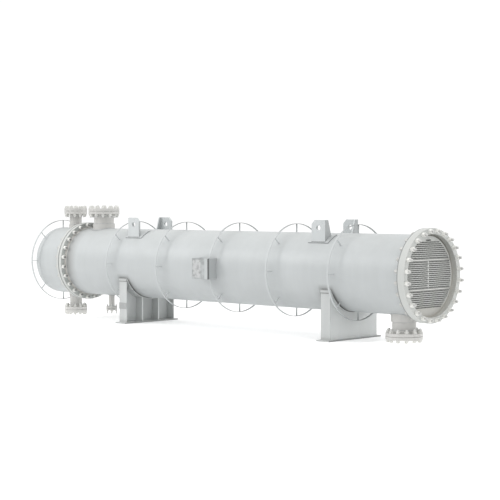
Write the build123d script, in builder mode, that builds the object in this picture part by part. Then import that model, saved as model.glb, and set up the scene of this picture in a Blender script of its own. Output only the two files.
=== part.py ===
from build123d import *
import math
import os

os.makedirs("parts", exist_ok=True)

# Sizes are in millimetres. The origin is the centre of the underside of the fixed saddle.
# +Z is up and +X runs along the vessel towards the open tubesheet end.

# Vessel
shell_r = 457.0
wall = 12.0
head_tangent_x = -1755.0
head_skirt = 45.0
head_crown_r = 914.0
head_knuckle_r = 91.4

# Girth flanges
girth_bolt_gap = 43.0
girth_edge = 32.0
girth_bolts = 24
girth_hole_r = 16.5
girth_rim = 42.0
girth_gasket_thick = 8.0
girth_front_x = -1251.0
girth_hub_rise = 8.0
girth_hub = 30.0
rear_flange_x = 4576.0
rear_flange_rim = 99.0
recess_depth = 60.0
recess_step = 20.0
rim_chamfer = 2.0

# Tubesheet
tubesheet_thick = 60.0
tubesheet_margin = 24.0
tube_pitch = 25.4
tube_bore_r = 7.9
tube_mouth_depth = 20.0
middle_rows_above = 7
middle_rows_below = 6
top_rows = 9
bottom_rows = 9
crown_row_length = 90.0
pass_lane = 44.0
split_lane_half = 6.0

# Insulation support rings
ring_first_x = -190.0
ring_pitch = 952.0
ring_count = 5
hoop_gap = 104.0
hoop_thick = 6.0
hoop_width = 25.0
spoke_count = 8
spoke_width = 16.0
spoke_thick = 8.0

# All nozzles
gasket_thick = 3.0
gasket_edge = 2.0
cover_clearance = 47.0
neck_wall = 8.0
hub_rise = 12.0
hub_length = 34.0
nozzle_chamfer = 1.5

# Channel nozzles
channel_port_x = -1478.0
channel_neck_r = 84.15
channel_sleeve_wall = 7.85
channel_sleeve_rise = 43.0
channel_bolt_gap = 50.85
channel_bolt_edge = 24.0
channel_hole_r = 13.0
channel_reach = 233.0
channel_rim = 38.0

# Shell inlet and outlet nozzles
inlet_x = -872.0
outlet_x = 4285.0
main_neck_r = 136.5
main_sleeve_wall = 14.5
main_bolt_gap = 48.5
main_bolt_edge = 27.5
main_hole_r = 14.5
main_rim = 37.0
inlet_sleeve_rise = 63.0
inlet_reach = 233.0
outlet_sleeve_rise = 73.0
outlet_reach = 236.0
main_bolts = 12

# Drain nozzle
drain_x = -715.0
drain_neck_r = 39.5
drain_bolt_gap = 20.85
drain_bolt_edge = 15.65
drain_hole_r = 9.5
drain_reach = 185.0
drain_rim = 21.0
drain_wall = 14.0
drain_hub_rise = 5.5
drain_hub = 18.0
drain_bolts = 4

# Saddles
sliding_saddle_x = 3483.0
saddle_width = 140.0
saddle_angle = 130.0
base_overhang = 58.0
base_width = 188.0
base_thick = 16.0
plate_thick = 12.0
rib_y = 145.0
wrap_width = 155.0
wrap_extra_angle = 3.6
anchor_hole_r = 14.0
anchor_slot = 60.0
earth_height = 81.0
earth_drop = 547.0
earth_thick = 6.0

# Lifting lugs
left_lug_x = 70.0
right_lug_x = 3265.0
lug_angle = 50.6
lug_thick = 28.0
lug_width = 207.0
lug_rise = 155.0
lug_hole_drop = 91.0
lug_hole_r = 31.0
lug_chamfer = 48.0
gusset_thick = 20.0
gusset_top = 30.0
gusset_foot = 95.0
gusset_drop = 212.0
pad_length = 305.0
pad_edge_angle = 2.0
pad_arc = 23.0
pad_thick = 12.0

# Nameplate bracket
bracket_x = 1613.0
bracket_width = 268.0
bracket_height = 256.0
bracket_clearance = 40.0
bracket_thick = 6.0
nameplate_width = 140.0
nameplate_height = 220.0
nameplate_shift = 55.0
nameplate_thick = 2.0

# Sizes and places that follow from those above
bore_r = shell_r - wall
girth_bolt_r = shell_r + girth_bolt_gap
girth_r = girth_bolt_r + girth_edge
girth_hub_r = shell_r + girth_hub_rise
shell_front_rim_x = girth_front_x + girth_rim + girth_gasket_thick
shell_start_x = shell_front_rim_x + girth_rim + girth_hub
shell_end_x = rear_flange_x - girth_hub
head_seam_x = head_tangent_x + head_skirt
tubesheet_face_x = rear_flange_x + rear_flange_rim - recess_depth
tube_field_r = bore_r - tubesheet_margin
hoop_r = shell_r + hoop_gap
axis_height = shell_r + outlet_reach + gasket_thick + main_rim + cover_clearance
wrap_r = shell_r + plate_thick
end_plate_y = wrap_r * math.sin(math.radians(saddle_angle / 2))
end_inner_y = end_plate_y - plate_thick / 2
anchor_y = (rib_y + end_plate_y) / 2
lug_y = shell_r * math.cos(math.radians(lug_angle))
lug_top_z = axis_height + shell_r + lug_rise
bracket_face_y = hoop_r + bracket_clearance + bracket_thick
long_axis = Axis((0, 0, axis_height), (1, 0, 0))


class Port:
    """One vertical nozzle: its place, its neck, its sleeve and its flange pair."""

    def __init__(self, name, x, side, neck_r, bolt_gap, bolt_edge, bolts, hole_r, reach, rim):
        self.name = name
        self.x = x
        self.side = side
        self.neck_r = neck_r
        self.bolt_r = neck_r + bolt_gap
        self.rim_r = self.bolt_r + bolt_edge
        self.bolts = bolts
        self.hole_r = hole_r
        self.face = shell_r + reach
        self.rim = rim
        self.give_sleeve(0.0, 0.0)
        self.give_hub(neck_wall, hub_rise, hub_length)

    def give_sleeve(self, thick, rise):
        """A thicker sleeve round the neck's root, to a rise over the shell."""
        self.sleeve_r = self.neck_r + thick
        self.sleeve_top = shell_r + rise

    def give_hub(self, wall_thick, rise, length):
        """The neck's wall and the taper under its flange."""
        self.bore = self.neck_r - wall_thick
        self.hub_r = self.neck_r + rise
        self.hub = length

    def plane(self, reach):
        """The plane across the nozzle at a distance from the vessel axis."""
        origin = (self.x, 0, axis_height + self.side * reach)
        return Plane(origin=origin, x_dir=(1, 0, 0), z_dir=(0, 0, self.side))


def channel_port(name, side):
    """One of the two like nozzles of the channel."""
    port = Port(
        name,
        channel_port_x,
        side,
        channel_neck_r,
        channel_bolt_gap,
        channel_bolt_edge,
        main_bolts,
        channel_hole_r,
        channel_reach,
        channel_rim,
    )
    port.give_sleeve(channel_sleeve_wall, channel_sleeve_rise)
    return port


def main_port(name, x, side, reach, sleeve_rise):
    """One of the two large nozzles of the shell."""
    port = Port(
        name,
        x,
        side,
        main_neck_r,
        main_bolt_gap,
        main_bolt_edge,
        main_bolts,
        main_hole_r,
        reach,
        main_rim,
    )
    port.give_sleeve(main_sleeve_wall, sleeve_rise)
    return port


drain = Port(
    "drain",
    drain_x,
    -1,
    drain_neck_r,
    drain_bolt_gap,
    drain_bolt_edge,
    drain_bolts,
    drain_hole_r,
    drain_reach,
    drain_rim,
)
drain.give_hub(drain_wall, drain_hub_rise, drain_hub)
channel_ports = [channel_port("channel_top", 1), channel_port("channel_bottom", -1)]
shell_ports = [
    main_port("shell_inlet", inlet_x, 1, inlet_reach, inlet_sleeve_rise),
    main_port("shell_outlet", outlet_x, -1, outlet_reach, outlet_sleeve_rise),
    drain,
]
ports = channel_ports + shell_ports


def tube_plane(x):
    """The plane across the vessel at x, centred on its axis: local x is +Y and local y is +Z."""
    return Plane(origin=(x, 0, axis_height), x_dir=(0, 1, 0), z_dir=(1, 0, 0))


def side_plane():
    """The upright plane along the vessel: local x is +X and local y is the height over its axis."""
    return Plane(origin=(0, 0, axis_height), x_dir=(1, 0, 0), z_dir=(0, -1, 0))


def radial_plane(x, degrees):
    """A plane through the vessel axis: local x is +X and local y points outward at this angle."""
    angle = math.radians(degrees)
    normal = (0, -math.sin(angle), math.cos(angle))
    return Plane(origin=(x, 0, axis_height), x_dir=(1, 0, 0), z_dir=normal)


def write(built, name):
    """Label the part in a builder and write its file."""
    built.part.label = name
    export_step(built.part, "parts/" + name + ".step")


# Dished head: a torispherical shell with a short straight part, welded to the channel barrel
knuckle_y = shell_r - head_knuckle_r
crown_span = head_crown_r - head_knuckle_r
crown_centre_x = head_tangent_x + math.sqrt(crown_span**2 - knuckle_y**2)
join_angle = math.atan2(knuckle_y, crown_centre_x - head_tangent_x)


def head_curve(offset):
    """The head's outer meridian, or one inside it by an offset, as crown arc and knuckle arc points."""
    crown = head_crown_r - offset
    knuckle = head_knuckle_r - offset
    join = (crown_centre_x - crown * math.cos(join_angle), crown * math.sin(join_angle))
    middle = join_angle / 2
    crown_mid = (crown_centre_x - crown * math.cos(middle), crown * math.sin(middle))
    turn = (join_angle + math.pi / 2) / 2
    knuckle_mid = (
        head_tangent_x - knuckle * math.cos(turn),
        knuckle_y + knuckle * math.sin(turn),
    )
    apex = (crown_centre_x - crown, 0)
    return apex, crown_mid, join, knuckle_mid, (head_tangent_x, knuckle_y + knuckle)


with BuildPart() as channel_head:
    with BuildSketch(side_plane()):
        with BuildLine():
            outer = head_curve(0)
            inner = head_curve(wall)
            ThreePointArc(outer[0], outer[1], outer[2])
            ThreePointArc(outer[2], outer[3], outer[4])
            Line(outer[4], (head_seam_x, shell_r))
            Line((head_seam_x, shell_r), (head_seam_x, bore_r))
            Line((head_seam_x, bore_r), inner[4])
            ThreePointArc(inner[4], inner[3], inner[2])
            ThreePointArc(inner[2], inner[1], inner[0])
            Line(inner[0], outer[0])
        make_face()
    revolve(axis=long_axis)
write(channel_head, "channel_head")


# Barrels: each is a plain tube with a hole for every neck that goes through its wall
def barrel(name, start_x, end_x, barrel_ports):
    with BuildPart() as tube:
        with BuildSketch(tube_plane(start_x)):
            Circle(shell_r)
            Circle(bore_r, mode=Mode.SUBTRACT)
        extrude(amount=end_x - start_x)
        for port in barrel_ports:
            with BuildSketch(port.plane(0)):
                Circle(port.sleeve_r)
            extrude(amount=shell_r + wall, mode=Mode.SUBTRACT)
    write(tube, name)


barrel("channel_barrel", head_seam_x, girth_front_x - girth_hub, channel_ports)
barrel("shell_barrel", shell_start_x, shell_end_x, shell_ports)


# Girth flanges: a rim with a low welded hub and a circle of stud holes
def girth_flange(name, rim_x, rim, hub_side, recess):
    hub_root_x = rim_x if hub_side < 0 else rim_x + rim
    hub_end_x = hub_root_x + hub_side * girth_hub
    far_x = rim_x + rim if hub_side < 0 else rim_x
    with BuildPart() as flange:
        with BuildSketch(side_plane()):
            with BuildLine():
                Polyline(
                    (far_x, bore_r),
                    (far_x, girth_r),
                    (hub_root_x, girth_r),
                    (hub_root_x, girth_hub_r),
                    (hub_end_x, shell_r),
                    (hub_end_x, bore_r),
                    close=True,
                )
            make_face()
        revolve(axis=long_axis)
        with BuildSketch(tube_plane(rim_x)):
            with PolarLocations(girth_bolt_r, girth_bolts, start_angle=180.0 / girth_bolts):
                Circle(girth_hole_r)
        extrude(amount=rim, mode=Mode.SUBTRACT)
        if recess > 0:
            with BuildSketch(tube_plane(rim_x + rim - recess)):
                Circle(bore_r + recess_step)
            extrude(amount=recess, mode=Mode.SUBTRACT)
        rims = flange.edges().filter_by(GeomType.CIRCLE).sort_by(SortBy.RADIUS)[-2:]
        chamfer(rims, length=rim_chamfer)
    write(flange, name)


girth_flange("channel_flange", girth_front_x, girth_rim, -1, 0)
girth_flange("shell_front_flange", shell_front_rim_x, girth_rim, 1, 0)
girth_flange("rear_flange", rear_flange_x, rear_flange_rim, -1, recess_depth)

with BuildPart() as girth_ring:
    with BuildSketch(tube_plane(girth_front_x + girth_rim)):
        Circle(girth_bolt_r - girth_hole_r - gasket_edge)
        Circle(bore_r, mode=Mode.SUBTRACT)
    extrude(amount=girth_gasket_thick)
write(girth_ring, "girth_gasket")


# Tubesheet: every tube mouth, in rows on a triangular pitch, with the pass lanes left plain
def tube_rows():
    """Each row's height, how far from the centreline its first tube has to be, and its half length."""
    rise = tube_pitch * math.sqrt(3) / 2
    top_start = middle_rows_above * rise + pass_lane
    bottom_start = -middle_rows_below * rise - pass_lane
    rows = []
    for row in range(-middle_rows_below, middle_rows_above + 1):
        rows.append((row * rise, split_lane_half, tube_field_r))
    for row in range(top_rows):
        rows.append((top_start + row * rise, 0.0, tube_field_r))
    for row in range(bottom_rows):
        rows.append((bottom_start - row * rise, 0.0, tube_field_r))
    rows.append((top_start + top_rows * rise, 0.0, crown_row_length / 2))
    return sorted(rows)


def tube_places():
    """The centre of every tube mouth, in Y and in height over the vessel axis."""
    places = []
    steps = math.ceil(tube_field_r / tube_pitch)
    for number, (height, clear_y, half_length) in enumerate(tube_rows()):
        first_y = tube_pitch / 2 * (number % 2)
        for step in range(-steps, steps + 1):
            y = first_y + step * tube_pitch
            inside = math.hypot(y, height) <= tube_field_r
            if inside and clear_y <= abs(y) <= half_length:
                places.append((y, height))
    return places


with BuildPart() as tubesheet:
    with BuildSketch(tube_plane(tubesheet_face_x - tubesheet_thick)):
        Circle(bore_r)
    extrude(amount=tubesheet_thick)
    with BuildSketch(tube_plane(tubesheet_face_x - tube_mouth_depth)):
        with Locations(*tube_places()):
            Circle(tube_bore_r)
    extrude(amount=tube_mouth_depth, mode=Mode.SUBTRACT)
write(tubesheet, "rear_tubesheet")


# Nozzles: a sleeve and a neck that end flush with the inner wall, and a flange with its hub
def nozzle(port):
    under = port.face - port.rim
    start = math.sqrt(bore_r**2 - port.sleeve_r**2) - wall
    with BuildPart() as neck:
        with BuildSketch(port.plane(start)):
            Circle(port.neck_r)
        extrude(amount=under - start)
        if port.sleeve_r > port.neck_r:
            with BuildSketch(port.plane(start)):
                Circle(port.sleeve_r)
            extrude(amount=port.sleeve_top - start)
        with BuildSketch(port.plane(under - port.hub)):
            Circle(port.neck_r)
        with BuildSketch(port.plane(under)):
            Circle(port.hub_r)
        loft()
        with BuildSketch(port.plane(under)):
            Circle(port.rim_r)
        extrude(amount=port.rim)
        rims = neck.edges().filter_by(GeomType.CIRCLE).sort_by(SortBy.RADIUS)[-2:]
        chamfer(rims, length=nozzle_chamfer)
        with BuildSketch(port.plane(under)):
            with PolarLocations(port.bolt_r, port.bolts, start_angle=180.0 / port.bolts):
                Circle(port.hole_r)
        extrude(amount=port.rim, mode=Mode.SUBTRACT)
        with BuildSketch(port.plane(start)):
            Circle(port.bore)
        extrude(amount=port.face - start, mode=Mode.SUBTRACT)
        with BuildSketch(tube_plane(port.x - port.rim_r)):
            Circle(bore_r)
        extrude(amount=2 * port.rim_r, mode=Mode.SUBTRACT)
    write(neck, port.name + "_nozzle")


def blind_cover(port):
    with BuildPart() as cover:
        with BuildSketch(port.plane(port.face + gasket_thick)):
            Circle(port.rim_r)
        extrude(amount=port.rim)
        rims = cover.edges().filter_by(GeomType.CIRCLE)
        chamfer(rims, length=nozzle_chamfer)
        with BuildSketch(port.plane(port.face + gasket_thick)):
            with PolarLocations(port.bolt_r, port.bolts, start_angle=180.0 / port.bolts):
                Circle(port.hole_r)
        extrude(amount=port.rim, mode=Mode.SUBTRACT)
    write(cover, port.name + "_cover")


for port in ports:
    nozzle(port)
    blind_cover(port)

with BuildPart() as nozzle_gaskets:
    for port in ports:
        with BuildSketch(port.plane(port.face)):
            Circle(port.bolt_r - port.hole_r - gasket_edge)
            Circle(port.bore, mode=Mode.SUBTRACT)
        extrude(amount=gasket_thick)
write(nozzle_gaskets, "nozzle_gaskets")


# Insulation support rings: a flat hoop held off the shell by welded spokes
def support_ring(name, x):
    inner_r = hoop_r - hoop_thick
    spoke_run = inner_r - shell_r + 2 * hoop_thick
    with BuildPart() as ring:
        with BuildSketch(tube_plane(x)):
            Circle(hoop_r)
            Circle(inner_r, mode=Mode.SUBTRACT)
        extrude(amount=hoop_width / 2, both=True)
        with BuildSketch(tube_plane(x)):
            with PolarLocations(inner_r - spoke_run / 2 + hoop_thick / 2, spoke_count):
                Rectangle(spoke_run, spoke_thick)
            Circle(shell_r, mode=Mode.SUBTRACT)
        extrude(amount=spoke_width / 2, both=True)
    write(ring, name)


support_ring("support_ring_0", head_tangent_x)
for number in range(ring_count):
    support_ring("support_ring_" + str(number + 1), ring_first_x + number * ring_pitch)


# Saddles: base, outer web, two end plates, two ribs and a wrap plate under the shell
def saddle_plates(name, x_start, run, y_centres, y_width):
    """Upright plates of a saddle, from its base to the wrap plate's curve."""
    with BuildPart() as plates:
        for y in y_centres:
            reach = abs(y) + y_width / 2
            top = axis_height - math.sqrt(wrap_r**2 - reach**2)
            with BuildSketch(Plane.YZ.offset(x_start)):
                with Locations((y, (base_thick + top) / 2)):
                    Rectangle(y_width, top - base_thick)
                with Locations((0, axis_height)):
                    Circle(wrap_r, mode=Mode.SUBTRACT)
            extrude(amount=run)
    write(plates, name)


saddle_half = saddle_width / 2
wrap_arc = saddle_angle + wrap_extra_angle
for name, x, side in (("fixed", 0.0, -1), ("sliding", sliding_saddle_x, 1)):
    web_x = x - saddle_half if side < 0 else x + saddle_half - plate_thick
    rib_x = x - saddle_half + plate_thick if side < 0 else x - saddle_half
    rib_run = saddle_width - plate_thick

    with BuildPart() as base:
        with BuildSketch(Plane.XY):
            with Locations((x, 0)):
                Rectangle(base_width, 2 * (end_plate_y + base_overhang))
            with Locations((x, -anchor_y), (x, anchor_y)):
                if name == "fixed":
                    Circle(anchor_hole_r, mode=Mode.SUBTRACT)
                else:
                    SlotOverall(anchor_slot, 2 * anchor_hole_r, mode=Mode.SUBTRACT)
        extrude(amount=base_thick)
    write(base, name + "_saddle_base")

    saddle_plates(name + "_saddle_web", web_x, plate_thick, [0], 2 * end_inner_y)
    end_ys = [-end_plate_y, end_plate_y]
    saddle_plates(name + "_saddle_ends", x - saddle_half, saddle_width, end_ys, plate_thick)
    saddle_plates(name + "_saddle_ribs", rib_x, rib_run, [-rib_y, rib_y], plate_thick)

    with BuildPart() as wrap:
        with BuildSketch(radial_plane(x, -90.0 - wrap_arc / 2)):
            with Locations((0, shell_r + plate_thick / 2)):
                Rectangle(wrap_width, plate_thick)
        revolve(axis=long_axis, revolution_arc=wrap_arc)
    write(wrap, name + "_saddle_wrap")

with BuildPart() as earth_strip:
    with BuildSketch(Plane.XZ.offset(end_plate_y + plate_thick / 2)):
        with Locations((0, axis_height - earth_drop)):
            Rectangle(saddle_width, earth_height)
    extrude(amount=earth_thick)
write(earth_strip, "earthing_plate")


# Lifting lugs: an upright eye plate with a gusset, on a pad that follows the shell
def lug_gusset_points(side, y_inner):
    """The gusset's outline in Y and Z, from the plate's inner face towards the top centreline."""
    top = lug_top_z
    low = axis_height + bore_r / 2
    foot = lug_top_z - gusset_drop
    return [
        (side * y_inner, low),
        (side * y_inner, top),
        (side * (y_inner - gusset_top), top),
        (side * (y_inner - gusset_foot), foot),
        (side * (y_inner - gusset_foot), low),
    ]


for station, x, outer_side in (("left", left_lug_x, -1), ("right", right_lug_x, 1)):
    for side_name, side in (("front", -1), ("back", 1)):
        low_z = axis_height + bore_r / 2
        top_z = lug_top_z
        outer_x = x + outer_side * lug_width / 2
        inner_x = x - outer_side * lug_width / 2
        with BuildPart() as lug:
            with BuildSketch(Plane.XZ.offset(-side * lug_y - lug_thick / 2)):
                with BuildLine():
                    Polyline(
                        (outer_x, low_z),
                        (outer_x, top_z),
                        (inner_x + outer_side * lug_chamfer, top_z),
                        (inner_x, top_z - lug_chamfer),
                        (inner_x, low_z),
                        close=True,
                    )
                make_face()
                with Locations((x, lug_top_z - lug_hole_drop)):
                    Circle(lug_hole_r, mode=Mode.SUBTRACT)
            extrude(amount=lug_thick)
            gusset_x = outer_x - gusset_thick if outer_side > 0 else outer_x
            with BuildSketch(Plane.YZ.offset(gusset_x)):
                with BuildLine():
                    Polyline(*lug_gusset_points(side, lug_y - lug_thick / 2), close=True)
                make_face()
            extrude(amount=gusset_thick)
            with BuildSketch(tube_plane(x - lug_width)):
                Circle(shell_r + pad_thick)
            extrude(amount=2 * lug_width, mode=Mode.SUBTRACT)
        write(lug, "lifting_lug_" + side_name + "_" + station)

        low_edge = lug_angle - pad_edge_angle
        start = 180.0 - low_edge - pad_arc if side < 0 else low_edge
        with BuildPart() as pad:
            with BuildSketch(radial_plane(x, start)):
                with Locations((0, shell_r + pad_thick / 2)):
                    Rectangle(pad_length, pad_thick)
            revolve(axis=long_axis, revolution_arc=pad_arc)
        write(pad, "lug_pad_" + side_name + "_" + station)


# Nameplate bracket: a front plate on two side legs, so that the hoop passes behind it
with BuildPart() as bracket:
    leg_root_y = math.sqrt(shell_r**2 - (bracket_height / 2) ** 2) - wall
    back_y = bracket_face_y - bracket_thick
    with BuildSketch(Plane.XZ.offset(back_y)):
        with Locations((bracket_x, axis_height)):
            Rectangle(bracket_width, bracket_height)
    extrude(amount=bracket_thick)
    leg_shift = bracket_width / 2 - bracket_thick / 2
    with BuildSketch(Plane.XZ.offset(leg_root_y)):
        with Locations((bracket_x - leg_shift, axis_height), (bracket_x + leg_shift, axis_height)):
            Rectangle(bracket_thick, bracket_height)
    extrude(amount=back_y - leg_root_y)
    with BuildSketch(tube_plane(bracket_x - bracket_width)):
        Circle(shell_r)
    extrude(amount=2 * bracket_width, mode=Mode.SUBTRACT)
write(bracket, "nameplate_bracket")

with BuildPart() as nameplate:
    with BuildSketch(Plane.XZ.offset(bracket_face_y)):
        with Locations((bracket_x - nameplate_shift, axis_height)):
            Rectangle(nameplate_width, nameplate_height)
    extrude(amount=nameplate_thick)
write(nameplate, "nameplate")
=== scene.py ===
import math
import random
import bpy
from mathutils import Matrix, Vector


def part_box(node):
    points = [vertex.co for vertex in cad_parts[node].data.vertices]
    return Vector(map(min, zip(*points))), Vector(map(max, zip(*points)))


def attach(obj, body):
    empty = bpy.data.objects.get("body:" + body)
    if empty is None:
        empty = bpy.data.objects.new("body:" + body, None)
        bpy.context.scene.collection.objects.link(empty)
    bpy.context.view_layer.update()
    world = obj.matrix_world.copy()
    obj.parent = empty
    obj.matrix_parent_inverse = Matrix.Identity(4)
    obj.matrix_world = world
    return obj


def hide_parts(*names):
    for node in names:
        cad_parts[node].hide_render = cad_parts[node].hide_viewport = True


bl_info = {
    "name": "Shell and tube heat exchanger",
    "version": (1, 0, 0),
    "blender": (4, 5, 0),
    "location": "3D View > Sidebar > Exchanger",
    "description": "Dresses a packed heat exchanger with fasteners, welds, tube ends and paint",
    "category": "Object",
}

import bmesh
import bpy
from bpy.props import FloatProperty, FloatVectorProperty, PointerProperty
from mathutils import Matrix, Vector

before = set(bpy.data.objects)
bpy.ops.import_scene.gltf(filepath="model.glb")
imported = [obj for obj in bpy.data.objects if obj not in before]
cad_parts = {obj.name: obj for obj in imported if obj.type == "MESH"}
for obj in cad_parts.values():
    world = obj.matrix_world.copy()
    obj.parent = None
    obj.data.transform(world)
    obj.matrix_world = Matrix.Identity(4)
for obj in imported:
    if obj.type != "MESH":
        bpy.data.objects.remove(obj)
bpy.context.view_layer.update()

# Places read from the frame. All lengths are in metres.
barrel_low, barrel_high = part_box("channel_barrel")
sheet_low, sheet_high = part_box("rear_tubesheet")
rear_low, rear_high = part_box("rear_flange")
plate_low, plate_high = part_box("nameplate")
AXIS_Z = (rear_low.z + rear_high.z) / 2
SHELL_R = (barrel_high.z - barrel_low.z) / 2
BORE_R = (sheet_high.z - sheet_low.z) / 2
GIRTH_R = (rear_high.z - rear_low.z) / 2
HEAD_SEAM = barrel_low.x
CHANNEL_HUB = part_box("channel_flange")[0].x
CHANNEL_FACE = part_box("channel_flange")[1].x
SHELL_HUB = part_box("shell_front_flange")[1].x
REAR_HUB = rear_low.x
REAR_FACE = rear_high.x
SHEET_FACE = sheet_high.x
GIRTH_HUB_LENGTH = 0.030
VESSEL_MIDDLE = (1.4, 0, AXIS_Z)
RIVET_INSET = 0.009
RIVET_R = 0.004
NAMEPLATE_ROUND = 0.0005
EARTHING_ROUND = 0.001

# Every flanged joint: its stud circle, the two faces that the nuts bear on, as distances along the
# studs, how far the studs stand past them, and the finishes of the studs and of their two nuts
GIRTH_STUDS = {
    "centre": (0, 0, AXIS_Z),
    "along": "X",
    "circle": 0.500,
    "count": 24,
    "stud": 0.030,
    "nut": 0.046,
}
GIRTH_JOINTS = {
    # The girth joints' finishes are lit and shaded copies of the steels, as painted light: paler
    # near nuts, darker far nuts, and darker front studs as painted shadow.
    "front_girth": dict(
        GIRTH_STUDS,
        faces=(CHANNEL_HUB + GIRTH_HUB_LENGTH, SHELL_HUB - GIRTH_HUB_LENGTH),
        past=(0.052, 0.052),
        finishes=("stud_steel_shaded", "nut_steel_lit", "nut_steel_shaded"),
    ),
    "rear_girth": dict(
        GIRTH_STUDS,
        faces=(REAR_HUB + GIRTH_HUB_LENGTH, REAR_FACE),
        past=(0.052, 0.066),
        finishes=("stud_steel_along", "nut_steel_lit", "nut_steel_shaded"),
    ),
}
GIRTH_NUT_SHARE = 1.25
STUD_SLACK = 0.003

# Chamfers, as shares of a stud's diameter, a nut's width and a nut's height
STUD_CHAMFER = 0.09
NUT_INSET = 0.035
NUT_CHAMFER = 0.13

# A nozzle's faces and its sleeve's top are measured from the vessel's axis, and its hub's length
# from the flange's first face
CHANNEL_NOZZLE = {
    "x": -1.478,
    "circle": 0.135,
    "count": 12,
    "stud": 0.024,
    "nut": 0.036,
    "faces": (0.652, 0.731),
    "past": (0.046, 0.034),
    "neck": 0.08415,
    "sleeve": 0.092,
    "sleeve_top": 0.500,
    "hub": 0.034,
}
SHELL_NOZZLE = {
    "circle": 0.185,
    "count": 12,
    "stud": 0.027,
    "nut": 0.041,
    "neck": 0.1365,
    "sleeve": 0.151,
    "hub": 0.034,
}
NOZZLES = {
    "channel_top": dict(CHANNEL_NOZZLE, side=1),
    "channel_bottom": dict(CHANNEL_NOZZLE, side=-1),
    "shell_inlet": dict(
        SHELL_NOZZLE, x=-0.872, side=1, faces=(0.653, 0.730), past=(0.048, 0.040), sleeve_top=0.520
    ),
    "shell_outlet": dict(
        SHELL_NOZZLE, x=4.285, side=-1, faces=(0.656, 0.733), past=(0.048, 0.032), sleeve_top=0.530
    ),
    "drain": {
        "x": -0.715,
        "side": -1,
        "circle": 0.06035,
        "count": 4,
        "stud": 0.016,
        "nut": 0.024,
        "faces": (0.621, 0.666),
        "past": (0.039, 0.044),
        "neck": 0.0395,
        "sleeve": 0.0395,
        "sleeve_top": None,
        "hub": 0.018,
    },
}

# The saddles' places along the vessel, their plates and the caps on their end plates
SADDLES = {"fixed": 0.0, "sliding": 3.483}
BASE_TOP = 0.016
END_PLATE = 0.012
WRAP_HALF_WIDTH = 0.0775
CAP_LOW = 0.552
CAP_HIGH = 0.594
CAP_HALF_LENGTH = 0.071
CAP_PROUD = 0.001

# The lifting lugs' places along the vessel, and their pads, by angles over the level
LUGS = {"left": 0.070, "right": 3.265}
LUG_Y = SHELL_R * math.cos(math.radians(50.6))
LUG_HALF_THICK = 0.014
LUG_HALF_WIDTH = 0.1035
PAD_HALF_LENGTH = 0.1525
PAD_ANGLES = (48.6, 71.6)
PAD_R = SHELL_R + 0.012
PAD_BEAD_R = SHELL_R + 0.001

# The lumps that make a weld bead uneven
LUMP_SIZE = 0.014
LUMP_HEIGHT = 0.003

# The tube field: three passes of rows, two level lanes between them, one upright lane in the
# middle pass and a short row at the crown. Heights are over the axis.
TUBE_PITCH = 0.0254
ROW_RISE = TUBE_PITCH * math.sqrt(3) / 2
TUBE_FIELD_R = BORE_R - 0.024
MIDDLE_ROWS_ABOVE = 7
MIDDLE_ROWS_BELOW = 6
OUTER_ROWS = 9
PASS_LANE = 0.044
SPLIT_LANE_HALF = 0.006
CROWN_HALF_LENGTH = 0.045
STRIP_WIDTH = 0.008
STRIP_THICKNESS = 0.005
STRIP_END_GAP = 0.004
TUBE_END_SUNK = 0.0004
TOP_START = MIDDLE_ROWS_ABOVE * ROW_RISE + PASS_LANE
BOTTOM_START = -MIDDLE_ROWS_BELOW * ROW_RISE - PASS_LANE
CROWN_ROW = TOP_START + OUTER_ROWS * ROW_RISE
LANES = (TOP_START - PASS_LANE / 2, BOTTOM_START + PASS_LANE / 2)

# Settings that several properties share
COLOUR = {"subtype": "COLOR", "min": 0.0, "max": 1.0}
LENGTH = {"subtype": "DISTANCE", "unit": "LENGTH"}
STRENGTH = {"min": 0.0, "max": 5.0}
POWER = {"unit": "POWER", "min": 0.0, "max": 20000.0}


# The looks of the paint and the metals, which a user may change
class ExchangerFinish(bpy.types.PropertyGroup):
    vessel_colour: FloatVectorProperty(
        name="Vessel paint",
        description="Colour of the barrels, the head, the rings and the lifting lugs",
        default=(0.510, 0.533, 0.537),
        **COLOUR,
    )
    saddle_colour: FloatVectorProperty(
        name="Saddle paint",
        description="Colour of the saddles",
        default=(0.545, 0.562, 0.558),
        **COLOUR,
    )
    flange_colour: FloatVectorProperty(
        name="Flange paint",
        description="Colour of the girth flanges",
        default=(0.575, 0.589, 0.570),
        **COLOUR,
    )
    nozzle_colour: FloatVectorProperty(
        name="Nozzle paint",
        description="Colour of the nozzles and their covers",
        default=(0.535, 0.530, 0.512),
        **COLOUR,
    )
    sheet_colour: FloatVectorProperty(
        name="Tubesheet",
        description="Colour of the machined face between the tube mouths",
        default=(0.615, 0.625, 0.605),
        **COLOUR,
    )
    # Painted shade: the near-black tone inside the tube mouths.
    bore_shade_colour: FloatVectorProperty(
        name="Tube bore",
        description="Colour inside the tube mouths",
        default=(0.022, 0.025, 0.023),
        **COLOUR,
    )
    stud_colour: FloatVectorProperty(
        name="Studs",
        description="Colour of the bright studs",
        default=(0.80, 0.80, 0.78),
        **COLOUR,
    )
    nut_colour: FloatVectorProperty(
        name="Nuts",
        description="Colour of the nuts",
        default=(0.80, 0.80, 0.77),
        **COLOUR,
    )
    gasket_colour: FloatVectorProperty(
        name="Gaskets",
        description="Colour of the gaskets' edges",
        default=(0.045, 0.045, 0.042),
        **COLOUR,
    )


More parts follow.
